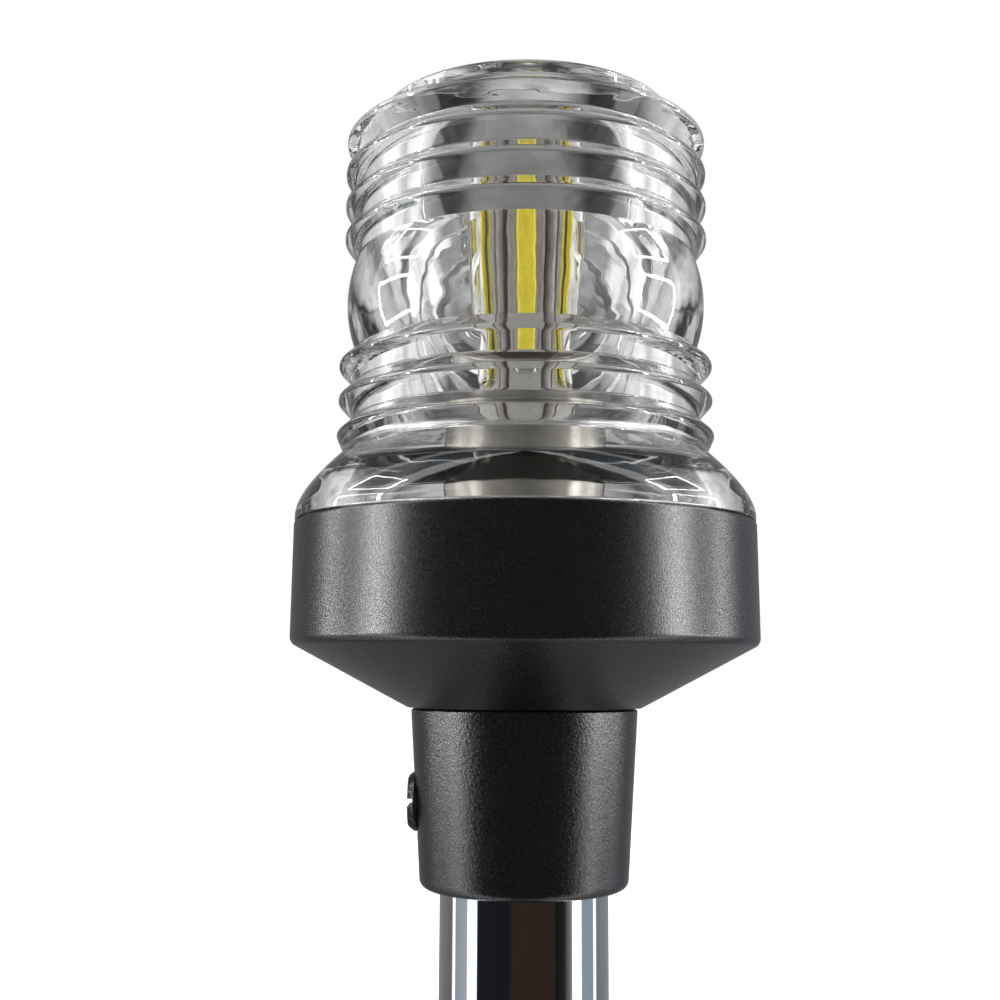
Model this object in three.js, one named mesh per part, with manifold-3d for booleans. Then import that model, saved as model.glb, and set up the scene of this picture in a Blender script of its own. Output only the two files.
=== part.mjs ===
// All-round navigation light: a clear Fresnel lens over an LED bayonet lamp, in a black bowl and
// neck that clamp on to a stainless pole. Millimetres, +Z up, origin at the centre of the pole's foot.
import * as THREE from "three";
import { mergeVertices } from "three/addons/utils/BufferGeometryUtils.js";
import Module from "manifold-3d";

const wasm = await Module();
wasm.setup();

// ---------- driving dimensions ----------
const ROUND = 48; // facets of a large round piece
const SMALL_ROUND = 20; // facets of a small round piece
const GAP = 0.3; // clearance between neighbours that don't move on each other

const POLE = { radius: 12.7, wall: 1.6, top: 40.4, chamfer: 0.4 };
const POLE_FIT = 0.15; // clearance of the pole in the neck
const NECK = { bottom: 20.3, top: 46.9, footRadius: 15.7, topRadius: 17.3, corner: 2.8, stop: 40.9 };
const BOWL = { bottom: 47.1, coneRadius: 17.9, collarRadius: 35.9, rimRadius: 35.55, rim: 75.0 };
const BOWL_WALL = 2.6;
const BOWL_EDGE = { low: 56.6, rounding: 1.4 }; // the rounded edge between cone and collar
const FLOOR = { top: 50.9, hole: 4.6 };

const LENS = { seat: 75.1, edge: 0.8, flangeRadius: 35.5, top: 140.9, dome: 0.5 };
const LENS_DISC = { radius: 23.2, bottom: 138.7, bevel: 0.6 }; // raised above the highest fin
const LENS_BORE = { radius: 24.4, top: 135.2, bevel: 1.6, low: 88.0 };
const SKIRT = { bottom: 65.5, radius: 31.0, bore: 28.4 };
const SHOULDER = { radius: 28.3, height: 85.9, pullRadius: 35.4, pullHeight: 79.6 };
const UPPER_FINS = { count: 4, lowest: 120.1, pitch: 5.3, radius: 28.8, root: 26.6, rootRise: 1.95 };
const LOWER_FINS = { count: 3, lowest: 88.75, pitch: 5.42, radius: 29.2, root: 27.0, rootRise: 2.4 };
const FIN_TIP = 0.42; // half the height of a fin's blunt tip
const BAND = { low: 102.0, high: 117.0, radius: 28.1, edgeRadius: 26.6 };

const SEAL = { centre: 31.6, section: 1.15, height: 72.6, grooveRadius: 30.1, grooveHalf: 1.5 };
const BAYONET_TURN = THREE.MathUtils.degToRad(60); // the lens's turn from locked to free
const LENS_RISE = 2.0; // and how far its ramps lift it meanwhile
const RAMP = { count: 3, span: THREE.MathUtils.degToRad(46), height: 1.6, inner: 31.5, low: 68.6 };
const LUG = { span: THREE.MathUtils.degToRad(24), height: 1.6, outer: 32.7 };

const HOLDER = { bottom: 52.9, flange: 1.1, flangeRadius: 14.5, bore: 8.0, wall: 0.9, top: 71.2 };
const HOLDER_SCREWS = { offset: 11.6, post: 3.0, pilot: 1.3, pilotDepth: 3.3 };
const SCREW_HOLE = 1.75;
const LAMP_PUSH = 2.5; // how far the lamp is pressed down to free its pins
const LAMP_TURN = THREE.MathUtils.degToRad(22);
const PIN = { height: 67.2, radius: 0.9, reach: 9.7 };
const LAMP_BASE = { bottom: 62.6, radius: 7.6, bore: 6.6, top: 73.7 };
const DISC = { bottom: 59.9, thickness: 1.9, radius: 7.5, stud: 3.6, studRadius: 1.1 };
const SPRING = { radius: 6.2, wire: 0.35, turns: 2.4, bottom: 54.6, top: 59.6 };

const DRUM = { radius: 12.4, bottom: 74.0, top: 88.4, rim: 1.0 };
const TOWER = { core: 6.2, bottom: 88.8, top: 124.2, faces: 6 };
const BOARD = { width: 5.6, thickness: 0.8, bottom: 90.2, top: 123.4 };
const STRIP = { width: 2.2, thickness: 0.7, bottom: 109.5, top: 122.6 };
const COVER = { width: 4.8, depth: 2.3, wall: 0.5, bottom: 108.5, top: 123.2 };
const CAP = { radius: 9.3, bottom: 124.6, thickness: 1.8 };

const LEAD = { radius: 0.9, spread: 1.45, top: 52.4, bottom: 3.2, sway: 2.2 };
const CLAMP = { height: 33.0, thread: 2.0, head: 4.5, crown: 3.7, face: 17.6, tip: 13.0, slot: 1.2 };
const CLAMP_SEAT = { radius: 4.85, depth: 15.5 }; // the flat cut in the neck, from the pole's axis
const CLAMP_INSERT_RADIUS = 2.75;
const CLAMP_WASHER = { radius: 4.4, inner: 15.55, outer: 15.9 };

// ---------- finishes ----------
const FINISHES = {
  stainless: { color: 0xc9c8c4, roughness: 0.08, metalness: 1 },
  coarse_black: { color: 0x151517, roughness: 0.62, metalness: 0 },
  satin_black: { color: 0x121214, roughness: 0.42, metalness: 0 },
  gloss_black: { color: 0x0b0b0c, roughness: 0.15, metalness: 0 },
  clear: { color: 0xf2f5f5, roughness: 0.05, metalness: 0, transparent: true, opacity: 0.3 },
  rubber: { color: 0x17171a, roughness: 0.8, metalness: 0 },
  nickel: { color: 0xb9b4aa, roughness: 0.2, metalness: 1 },
  zinc: { color: 0xa9abad, roughness: 0.35, metalness: 1 },
  brass: { color: 0xb58f4a, roughness: 0.3, metalness: 1 },
  spring_steel: { color: 0x9a9c9f, roughness: 0.25, metalness: 1 },
  phenolic: { color: 0x4a3527, roughness: 0.6, metalness: 0 },
  grey_aluminium: { color: 0x8b8680, roughness: 0.4, metalness: 1 },
  board_white: { color: 0xe9e6e1, roughness: 0.5, metalness: 0 },
  phosphor: { color: 0xe8c21c, roughness: 0.55, metalness: 0 },
  lead_red: { color: 0xa01c18, roughness: 0.5, metalness: 0 },
  lead_black: { color: 0x1a1a1b, roughness: 0.5, metalness: 0 },
};

// ---------- helpers ----------
const point = (x, y) => new THREE.Vector2(x, y);

// A solid from any closed geometry.
function solid(geometry) {
  const bare = geometry.index ? geometry.toNonIndexed() : geometry.clone();
  bare.deleteAttribute("normal");
  bare.deleteAttribute("uv");
  const merged = mergeVertices(bare, 1e-4);
  return new wasm.Manifold(
    new wasm.Mesh({
      numProp: 3,
      vertProperties: new Float32Array(merged.attributes.position.array),
      triVerts: new Uint32Array(merged.index.array),
    }),
  );
}

// A named mesh from a solid.
function piece(name, shape, finish) {
  const mesh = shape.getMesh();
  const geometry = new THREE.BufferGeometry();
  geometry.setAttribute("position", new THREE.BufferAttribute(mesh.vertProperties, 3));
  geometry.setIndex(new THREE.BufferAttribute(mesh.triVerts, 1));
  geometry.computeVertexNormals();
  const made = new THREE.Mesh(geometry, new THREE.MeshStandardMaterial(FINISHES[finish]));
  made.name = name;
  return made;
}

// A profile of (radius, height) points turned about Z. A profile off the axis closes on itself.
function revolve(profile, facets = ROUND) {
  const outline = profile.map((p) => p.clone());
  if (THREE.ShapeUtils.isClockWise(outline)) outline.reverse();
  const onAxis = outline.filter((p) => p.x === 0);
  if (onAxis.length === 0) {
    outline.push(outline[0].clone());
  } else {
    while (outline[0].x !== 0 || outline[outline.length - 1].x !== 0) outline.push(outline.shift());
  }
  return solid(new THREE.LatheGeometry(outline, facets).rotateX(Math.PI / 2));
}

// A ring or disc with square edges.
function ring(inner, outer, low, high, facets = ROUND) {
  const section = [point(inner, low), point(outer, low), point(outer, high), point(inner, high)];
  return revolve(section, facets);
}

function box(width, depth, height, x, y, z) {
  return solid(new THREE.BoxGeometry(width, depth, height).translate(x, y, z));
}

// A round bar along Z, or along X when lying.
function bar(radius, length, x, y, z, facets = SMALL_ROUND, lying = false) {
  const shape = new THREE.CylinderGeometry(radius, radius, length, facets);
  if (lying) shape.rotateZ(Math.PI / 2);
  else shape.rotateX(Math.PI / 2);
  return solid(shape.translate(x, y, z));
}

// Points of an arc, from one angle to another, in steps.
function arc(x, y, radius, from, to, steps) {
  return Array.from({ length: steps + 1 }, (_, i) => {
    const angle = from + ((to - from) * i) / steps;
    return point(x + radius * Math.cos(angle), y + radius * Math.sin(angle));
  });
}

// A bar of rectangular section that climbs as it goes round Z, centred on one angle.
function helicalBar(inner, outer, low, height, centre, span, climb, steps = 6) {
  const position = [];
  const index = [];
  for (let i = 0; i <= steps; i++) {
    const turn = span * (i / steps - 0.5);
    const z = low + climb * turn;
    const corners = [[inner, z], [outer, z], [outer, z + height], [inner, z + height]];
    for (const [r, h] of corners) {
      position.push(r * Math.cos(centre + turn), r * Math.sin(centre + turn), h);
    }
  }
  for (let i = 0; i < steps; i++) {
    for (let k = 0; k < 4; k++) {
      const a = 4 * i + k;
      const b = 4 * i + ((k + 1) % 4);
      index.push(a, a + 4, b, b, a + 4, b + 4);
    }
  }
  const end = 4 * steps;
  index.push(0, 1, 2, 0, 2, 3, end, end + 2, end + 1, end, end + 3, end + 2);
  const geometry = new THREE.BufferGeometry();
  geometry.setAttribute("position", new THREE.Float32BufferAttribute(position, 3));
  geometry.setIndex(index);
  return solid(geometry);
}

// A pan-head screw that stands on its tip: its head's underside is at the given height.
function standingScrew(x, y, seat, shank, length, head, thickness) {
  const body = revolve(
    [
      point(0, seat - length),
      point(shank * 0.4, seat - length),
      point(shank, seat - length + shank),
      point(shank, seat),
      point(head, seat),
      point(head, seat + thickness * 0.5),
      point(head * 0.7, seat + thickness),
      point(0, seat + thickness),
    ],
    12,
  );
  const recessWidth = 0.5;
  const recess = box(head, recessWidth, thickness, 0, 0, seat + thickness);
  return body.subtract(recess).subtract(recess.rotate([0, 0, 90])).translate([x, y, 0]);
}

// ---------- pole, neck and bowl ----------
function poleTube() {
  const { radius, wall, top, chamfer } = POLE;
  const inner = radius - wall;
  return revolve([
    point(inner, 0),
    point(radius - chamfer, 0),
    point(radius, chamfer),
    point(radius, top - chamfer),
    point(radius - chamfer, top),
    point(inner, top),
  ]);
}

function neckSocket() {
  const { bottom, top, footRadius, topRadius, corner, stop } = NECK;
  const bore = POLE.radius + POLE_FIT;
  const leadHole = 6.0;
  const shell = revolve([
    point(bore, bottom),
    ...arc(footRadius - corner, bottom + corner, corner, -Math.PI / 2, 0, 5),
    point(topRadius, top),
    point(leadHole, top),
    point(leadHole, stop),
    point(bore, stop),
  ]);
  const cutLength = 10;
  const seatMiddle = -(CLAMP_SEAT.depth + cutLength / 2);
  const seat = bar(CLAMP_SEAT.radius, cutLength, seatMiddle, 0, CLAMP.height, 28, true);
  const holeMiddle = -(POLE.radius + cutLength / 2 - 1.7);
  const insertHole = bar(CLAMP_INSERT_RADIUS + GAP, cutLength, holeMiddle, 0, CLAMP.height, 20, true);
  let neck = shell.subtract(seat).subtract(insertHole);
  for (const hole of neckScrewPlaces()) {
    neck = neck.subtract(bar(SCREW_HOLE, cutLength, hole.x, hole.y, top, 12));
  }
  return neck;
}

// Three screws on a circle hold the bowl down on the neck.
function neckScrewPlaces() {
  const circle = 9.6;
  return [0, 1, 2].map((k) => {
    const angle = (k * 2 * Math.PI) / 3;
    return point(circle * Math.cos(angle), circle * Math.sin(angle));
  });
}

function housingBowl() {
  const { bottom, coneRadius, collarRadius, rimRadius, rim } = BOWL;
  const innerCollar = rimRadius - BOWL_WALL;
  const { low: edgeLow, rounding } = BOWL_EDGE;
  const edgeMiddle = collarRadius - rounding;
  const coneNormal = -1.08; // the angle at which the cone meets the rounded edge
  const slope = (edgeLow - bottom) / (collarRadius - 0.8 - coneRadius);
  const innerFloor = coneRadius + (FLOOR.top - bottom) / slope - BOWL_WALL * 1.7;
  const innerStep = edgeLow + 3.2; // where the inner wall turns upright
  const shell = revolve([
    point(FLOOR.hole, bottom),
    point(coneRadius - 0.35, bottom),
    point(coneRadius, bottom + 0.25),
    ...arc(edgeMiddle, edgeLow + 1.5, rounding, coneNormal, 0, 4),
    point(rimRadius + 0.1, rim - 0.7),
    point(rimRadius - 0.3, rim),
    point(innerCollar, rim),
    point(innerCollar, innerStep),
    point(innerFloor, FLOOR.top),
    point(FLOOR.hole, FLOOR.top),
  ]);
  let bowl = shell;
  const climb = LENS_RISE / BAYONET_TURN;
  for (let k = 0; k < RAMP.count; k++) {
    const centre = (k * 2 * Math.PI) / RAMP.count + Math.PI / 6;
    const outer = innerCollar + 0.6;
    bowl = bowl.add(helicalBar(RAMP.inner, outer, RAMP.low, RAMP.height, centre, RAMP.span, climb));
  }
  const { offset, post, pilot, pilotDepth } = HOLDER_SCREWS;
  const postTop = HOLDER.bottom - GAP;
  const postFoot = FLOOR.top - 1; // sunk into the floor
  const pilotFoot = postTop - pilotDepth;
  for (const side of [-1, 1]) {
    const y = side * offset;
    bowl = bowl.add(bar(post, postTop - postFoot, 0, y, (postTop + postFoot) / 2));
    bowl = bowl.subtract(bar(pilot, 2 * pilotDepth, 0, y, pilotFoot + pilotDepth, 12));
  }
  const through = 12; // longer than the floor is thick
  for (const hole of neckScrewPlaces()) {
    bowl = bowl.subtract(bar(SCREW_HOLE, through, hole.x, hole.y, FLOOR.top - 2, 12));
  }
  return bowl;
}

// ---------- lens and its seal ----------
function finOutline({ count, lowest, pitch, radius, root, rootRise }) {
  const outline = [];
  for (let k = 0; k < count; k++) {
    const z = lowest + k * pitch;
    outline.push(point(radius, z - FIN_TIP), point(radius, z + FIN_TIP));
    if (k < count - 1) outline.push(point(root, z + rootRise));
  }
  return outline;
}

// The convex band bulges between the two stacks of fins.
function bandOutline() {
  const { low, high, radius, edgeRadius } = BAND;
  const half = (high - low) / 2;
  const sag = radius - edgeRadius;
  const curve = (half * half + sag * sag) / (2 * sag);
  const reach = Math.asin(half / curve);
  return arc(radius - curve, (low + high) / 2, curve, -reach, reach, 6);
}

function shoulderOutline() {
  const start = point(LENS.flangeRadius, LENS.seat + LENS.edge);
  const pull = point(SHOULDER.pullRadius, SHOULDER.pullHeight);
  const end = point(SHOULDER.radius, SHOULDER.height);
  return new THREE.QuadraticBezierCurve(start, pull, end).getPoints(5);
}

function lens() {
  const groove = SEAL.grooveHalf;
  let shape = revolve([
    point(0, LENS_BORE.top),
    point(LENS_BORE.radius - LENS_BORE.bevel, LENS_BORE.top),
    point(LENS_BORE.radius, LENS_BORE.top - LENS_BORE.bevel),
    point(LENS_BORE.radius, LENS_BORE.low),
    point(SKIRT.bore, LENS_BORE.low - 6.5),
    point(SKIRT.bore, SKIRT.bottom),
    point(SKIRT.radius, SKIRT.bottom),
    point(SKIRT.radius, SEAL.height - groove),
    point(SEAL.grooveRadius, SEAL.height - groove),
    point(SEAL.grooveRadius, SEAL.height + groove),
    point(SKIRT.radius, SEAL.height + groove),
    point(SKIRT.radius, LENS.seat),
    point(LENS.flangeRadius, LENS.seat),
    ...shoulderOutline(),
    ...finOutline(LOWER_FINS),
    ...bandOutline(),
    ...finOutline(UPPER_FINS),
    point(LENS_DISC.radius, LENS_DISC.bottom),
    point(LENS_DISC.radius, LENS.top - LENS_DISC.bevel),
    point(LENS_DISC.radius - LENS_DISC.bevel, LENS.top),
    point(0, LENS.top + LENS.dome),
  ]);
  const climb = LENS_RISE / BAYONET_TURN;
  const low = RAMP.low - GAP - LUG.height;
  for (let k = 0; k < RAMP.count; k++) {
    const centre = (k * 2 * Math.PI) / RAMP.count + Math.PI / 6;
    const inner = SKIRT.radius - 0.6;
    shape = shape.add(helicalBar(inner, LUG.outer, low, LUG.height, centre, LUG.span, climb, 3));
  }
  return shape;
}

function lensSeal() {
  return revolve(arc(SEAL.centre, SEAL.height, SEAL.section, 0, 2 * Math.PI, 6).slice(0, 6));
}

// ---------- lamp holder ----------
function lampHolder() {
  const { bottom, flange, flangeRadius, bore, wall, top } = HOLDER;
  const leadHole = 2.9;
  const floorTop = bottom + 1.4;
  let holder = revolve(
    [
      point(leadHole, bottom),
      point(flangeRadius, bottom),
      point(flangeRadius, bottom + flange),
      point(bore + wall, bottom + flange),
      point(bore + wall, top),
      point(bore, top),
      point(bore, floorTop),
      point(leadHole, floorTop),
    ],
    32,
  );
  // Two L-shaped slots: in from the rim, then round to the lock.
  const room = 0.35;
  const slotWidth = 2 * (PIN.radius + room);
  const low = PIN.height - PIN.radius - room - LAMP_PUSH;
  const high = PIN.height + PIN.radius + room * 0.4;
  for (const side of [0, Math.PI]) {
    const margin = (PIN.radius + room) / bore;
    const span = LAMP_TURN + 2 * margin;
    const centre = side + LAMP_TURN / 2;
    const lock = helicalBar(bore - 1, bore + wall + 1, low, high - low, centre, span, 0, 4);
    const entryHeight = top - low + 1;
    const entry = box(4, slotWidth, entryHeight, bore + wall / 2, 0, low + entryHeight / 2);
    const turned = THREE.MathUtils.radToDeg(side + LAMP_TURN);
    holder = holder.subtract(lock).subtract(entry.rotate([0, 0, turned]));
  }
  for (const side of [-1, 1]) {
    holder = holder.subtract(bar(SCREW_HOLE, 4 * flange, 0, side * HOLDER_SCREWS.offset, bottom, 12));
  }
  return holder;
}

function contactDisc() {
  const { bottom, thickness, radius, stud } = DISC;
  const centreHole = 1.2;
  const studHole = DISC.studRadius + GAP;
  let disc = ring(centreHole, radius, bottom, bottom + thickness, 32);
  for (const side of [-1, 1]) {
    disc = disc.subtract(bar(studHole, thickness + 2, side * stud, 0, bottom + thickness / 2, 12));
  }
  return disc;
}

function contactStud(side) {
  const low = DISC.bottom - 1.2;
  const high = LAMP_BASE.bottom - 0.55;
  const { studRadius } = DISC;
  const chamfer = 0.5;
  const rounded = [
    point(0, low),
    point(studRadius, low),
    point(studRadius, high - chamfer),
    point(studRadius - chamfer, high),
    point(0, high),
  ];
  return revolve(rounded, 12).translate([side * DISC.stud, 0, 0]);
}

function contactSpring() {
  const { radius, wire, turns, bottom, top } = SPRING;
  class Coil extends THREE.Curve {
    getPoint(t, target = new THREE.Vector3()) {
      const angle = 2 * Math.PI * turns * t;
      const z = bottom + wire + (top - bottom - 2 * wire) * t;
      return target.set(radius * Math.cos(angle), radius * Math.sin(angle), z);
    }
  }
  const section = new THREE.Shape(arc(0, 0, wire, 0, 2 * Math.PI, 6).slice(0, 6));
  const steps = Math.round(turns * 18);
  const path = new Coil();
  return solid(new THREE.ExtrudeGeometry(section, { steps, extrudePath: path, bevelEnabled: false }));
}

// ---------- lamp ----------
function lampBase() {
  const { bottom, radius, bore, top } = LAMP_BASE;
  let base = revolve(
    [
      point(bore, bottom + 0.6),
      point(bore + 0.4, bottom),
      point(radius - 0.3, bottom),
      point(radius, bottom + 0.3),
      point(radius, top),
      point(bore, top),
    ],
    32,
  );
  for (const side of [-1, 1]) {
    const length = PIN.reach - bore - 0.3;
    const x = side * (PIN.reach - length / 2);
    base = base.add(bar(PIN.radius, length, x, 0, PIN.height, 14, true));
  }
  return base;
}

function lampBaseInsulator() {
  const low = LAMP_BASE.bottom + 0.9;
  const radius = LAMP_BASE.bore - GAP;
  const plug = [point(0, low), point(radius - 0.6, low), point(radius, low + 0.6)];
  return revolve([...plug, point(radius, low + 3.2), point(0, low + 3.2)], 32);
}

function lampContact(side) {
  const low = LAMP_BASE.bottom - 0.2;
  const high = LAMP_BASE.bottom + 0.6;
  const pad = [point(0, low), point(1.0, low), point(1.5, high), point(0, high)];
  return revolve(pad, 12).translate([side * DISC.stud, 0, 0]);
}

function lampBody() {
  const { radius, bottom, top, rim } = DRUM;
  return revolve([
    point(0, bottom),
    point(radius - 2.4, bottom),
    point(radius, bottom + 1.2),
    point(radius, top - 0.5),
    point(radius - 0.5, top),
    point(radius - 0.5 - rim, top),
    point(radius - 0.8 - rim, top - 0.8),
    point(0, top - 0.8),
  ]);
}

// A column with one flat for each light strip, and a shallow groove at each corner.
function ledCore() {
  const { core, bottom, top, faces } = TOWER;
  const corner = core / Math.cos(Math.PI / faces);
  const column = new THREE.CylinderGeometry(corner, corner, top - bottom, faces);
  column.rotateX(Math.PI / 2).rotateZ(Math.PI / faces);
  let shape = solid(column.translate(0, 0, (top + bottom) / 2));
  for (let k = 0; k < faces; k++) {
    const fin = box(1.9, 1.1, top - bottom, corner + 0.2, 0, (top + bottom) / 2);
    shape = shape.add(fin.rotate([0, 0, (k * 360) / faces]));
  }
  return shape;
}

function ledBoard() {
  const { width, thickness, bottom, top } = BOARD;
  const y = TOWER.core + GAP + thickness / 2;
  return box(width, thickness, top - bottom, 0, -y, (top + bottom) / 2);
}

function ledStrip() {
  const { width, thickness, bottom, top } = STRIP;
  const y = TOWER.core + 2 * GAP + BOARD.thickness + thickness / 2;
  return box(width, thickness, top - bottom, 0, -y, (top + bottom) / 2);
}

// A clear half-round capsule with a round lower end, hollowed for the strip behind it.
function ledCover() {
  const { width, depth, wall, bottom, top } = COVER;
  const seat = TOWER.core + 2 * GAP + BOARD.thickness;
  const half = width / 2;
  const squash = (shape) => shape.scale([1, depth / half, 1]).translate([0, -seat, 0]);
  const rod = bar(half, top - bottom - half, 0, 0, (top + bottom + half) / 2, SMALL_ROUND);
  const ball = new THREE.SphereGeometry(half, SMALL_ROUND, 10).rotateX(Math.PI / 2);
  const end = solid(ball.translate(0, 0, bottom + half));
  const behind = box(width + 2, depth * 2, top - bottom + 4, 0, -seat + depth, (top + bottom) / 2);
  const room = STRIP.thickness + GAP;
  const hollow = box(
    STRIP.width + 2 * GAP,
    room * 2,
    STRIP.top - STRIP.bottom + 2 * wall,
    0,
    -seat,
    (STRIP.top + STRIP.bottom) / 2,
  );
  return squash(rod.add(end)).subtract(behind).subtract(hollow);
}

function lampCap() {
  const { radius, bottom, thickness } = CAP;
  const edge = 0.6;
  return revolve(
    [
      point(0, bottom),
      point(radius - edge, bottom),
      point(radius, bottom + edge),
      point(radius, bottom + thickness - edge),
      point(radius - edge, bottom + thickness),
      point(0, bottom + thickness),
    ],
    36,
  );
}

// ---------- leads and grommet ----------
function leadGrommet() {
  const hole = 3.0;
  const waist = FLOOR.hole - GAP;
  return revolve(
    [
      point(hole, BOWL.bottom + 0.2),
      point(waist, BOWL.bottom + 0.2),
      point(waist, FLOOR.top + GAP),
      point(waist + 1.7, FLOOR.top + GAP),
      point(waist + 1.7, FLOOR.top + GAP + 0.9),
      point(hole, FLOOR.top + GAP + 0.9),
    ],
    24,
  );
}

// A lead runs down from the holder through grommet, neck and pole, with a slight sway.
function lead(side) {
  const { radius, spread, top, bottom, sway } = LEAD;
  const drop = top - bottom;
  const path = new THREE.CatmullRomCurve3([
    new THREE.Vector3(side * spread, 0, top),
    new THREE.Vector3(side * spread, 0, top - drop * 0.15),
    new THREE.Vector3(side * (spread + sway), side * 0.6, top - drop * 0.4),
    new THREE.Vector3(side * (spread + sway), side * sway, top - drop * 0.7),
    new THREE.Vector3(side * (spread + sway * 0.6), side * sway, bottom),
  ]);
  const section = new THREE.Shape(arc(0, 0, radius, 0, 2 * Math.PI, 8).slice(0, 8));
  const form = { steps: 16, extrudePath: path, bevelEnabled: false };
  return solid(new THREE.ExtrudeGeometry(section, form));
}

// ---------- clamp screw ----------
// These three are turned about Z and then laid along X, so a height here is a distance from the pole.
function laidOutwards(shape) {
  return shape.rotate([0, -90, 0]).translate([0, 0, CLAMP.height]);
}

function clampInsert() {
  const thread = CLAMP.thread + 0.1;
  const high = CLAMP_SEAT.depth - GAP;
  return laidOutwards(ring(thread, CLAMP_INSERT_RADIUS, CLAMP.tip + 0.2, high, SMALL_ROUND));
}

function clampWasher() {
  const { radius, inner, outer } = CLAMP_WASHER;
  return laidOutwards(ring(CLAMP.thread + 0.1, radius, inner, outer, 24));
}

function clampScrew() {
  const { thread, head, crown, face, tip, slot } = CLAMP;
  const under = CLAMP_WASHER.outer + 0.05;
  const body = revolve(
    [
      point(0, tip),
      point(thread - 0.6, tip),
      point(thread, tip + 0.6),
      point(thread, under),
      point(head, under),
      point(head, face - 1.1),
      point((head + crown) / 2 + 0.1, face - 0.4),
      point(crown, face),
      point(0, face),
    ],
    24,
  );
  const cut = box(slot, head * 2 + 1, 1.6, 0, 0, face);
  return laidOutwards(body.subtract(cut));
}

// ---------- assembly ----------
const light = new THREE.Group();

const mast = new THREE.Group();
mast.add(piece("pole_tube", poleTube(), "stainless"));
mast.add(piece("neck_socket", neckSocket(), "coarse_black"));
mast.add(piece("clamp_insert", clampInsert(), "brass"));
light.add(mast);

const bowl = new THREE.Group();
bowl.add(piece("housing_bowl", housingBowl(), "satin_black"));
neckScrewPlaces().forEach((place, k) => {
  const screw = standingScrew(place.x, place.y, FLOOR.top + 0.05, 1.4, 8.6, 2.5, 1.7);
  bowl.add(piece("neck_screw_" + (k + 1), screw, "zinc"));
});
bowl.add(piece("lead_grommet", leadGrommet(), "rubber"));
bowl.add(piece("lead_red", lead(1), "lead_red"));
bowl.add(piece("lead_black", lead(-1), "lead_black"));
light.add(bowl);

const holder = new THREE.Group();
holder.add(piece("lamp_holder", lampHolder(), "nickel"));
[-1, 1].forEach((side, k) => {
  const seat = HOLDER.bottom + HOLDER.flange + 0.05;
  const screw = standingScrew(0, side * HOLDER_SCREWS.offset, seat, 1.05, 4.2, 2.1, 1.5);
  holder.add(piece("holder_screw_" + (k + 1), screw, "zinc"));
});
holder.add(piece("contact_spring", contactSpring(), "spring_steel"));
holder.add(piece("contact_disc", contactDisc(), "phenolic"));
[-1, 1].forEach((side, k) => {
  holder.add(piece("contact_stud_" + (k + 1), contactStud(side), "brass"));
});
light.add(holder);

const lamp = new THREE.Group();
lamp.add(piece("lamp_base", lampBase(), "nickel"));
lamp.add(piece("lamp_base_insulator", lampBaseInsulator(), "phenolic"));
[-1, 1].forEach((side, k) => {
  lamp.add(piece("lamp_contact_" + (k + 1), lampContact(side), "zinc"));
});
lamp.add(piece("lamp_body", lampBody(), "nickel"));
lamp.add(piece("led_core", ledCore(), "grey_aluminium"));
for (let k = 0; k < TOWER.faces; k++) {
  const face = new THREE.Group();
  face.rotation.z = (k * 2 * Math.PI) / TOWER.faces;
  face.add(piece("led_board_" + (k + 1), ledBoard(), "board_white"));
  face.add(piece("led_strip_" + (k + 1), ledStrip(), "phosphor"));
  face.add(piece("led_cover_" + (k + 1), ledCover(), "clear"));
  lamp.add(face);
}
lamp.add(piece("lamp_cap", lampCap(), "grey_aluminium"));
light.add(lamp);

const cover = new THREE.Group();
cover.add(piece("lens", lens(), "clear"));
cover.add(piece("lens_seal", lensSeal(), "rubber"));
light.add(cover);

const clamp = new THREE.Group();
clamp.add(piece("clamp_screw", clampScrew(), "gloss_black"));
clamp.add(piece("clamp_washer", clampWasher(), "gloss_black"));
light.add(clamp);

export default light;
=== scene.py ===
"""The looks of an all-round navigation light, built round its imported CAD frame. Outlines are in
millimetres, (radius, height, fillet) about the light's own Z axis; objects are in metres."""
import math

import bmesh
import bpy
from mathutils import Matrix, Vector

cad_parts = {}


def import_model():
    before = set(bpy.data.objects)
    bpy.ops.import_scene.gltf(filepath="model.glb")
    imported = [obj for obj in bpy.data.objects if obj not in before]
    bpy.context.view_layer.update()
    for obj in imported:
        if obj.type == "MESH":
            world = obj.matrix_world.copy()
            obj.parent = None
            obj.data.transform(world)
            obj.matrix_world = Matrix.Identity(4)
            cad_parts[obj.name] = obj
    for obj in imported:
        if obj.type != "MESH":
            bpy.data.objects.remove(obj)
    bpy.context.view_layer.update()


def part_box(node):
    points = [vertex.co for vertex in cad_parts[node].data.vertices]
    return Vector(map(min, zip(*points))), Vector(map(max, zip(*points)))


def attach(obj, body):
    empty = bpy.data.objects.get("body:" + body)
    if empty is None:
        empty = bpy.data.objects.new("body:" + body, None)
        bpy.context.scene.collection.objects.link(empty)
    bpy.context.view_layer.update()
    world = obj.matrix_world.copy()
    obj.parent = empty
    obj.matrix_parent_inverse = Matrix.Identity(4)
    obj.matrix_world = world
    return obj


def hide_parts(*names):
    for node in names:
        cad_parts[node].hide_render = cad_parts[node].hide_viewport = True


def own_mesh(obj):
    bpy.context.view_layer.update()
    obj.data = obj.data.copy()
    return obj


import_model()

MM = 0.001
ROUND = 256  # steps round a large turned piece
SMALL_ROUND = 72  # steps round a small one
FACES = 6  # faces of the LED tower
CLEARANCE = 0.3  # the gap that the frame leaves between neighbours
ARC_STEP = math.radians(9)  # the turn between two points of a fillet
ON_AXIS = 1e-6  # millimetres; nearer the axis than this counts as on it
SHARP = math.radians(38)  # edges sharper than this stay crisp


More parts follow.
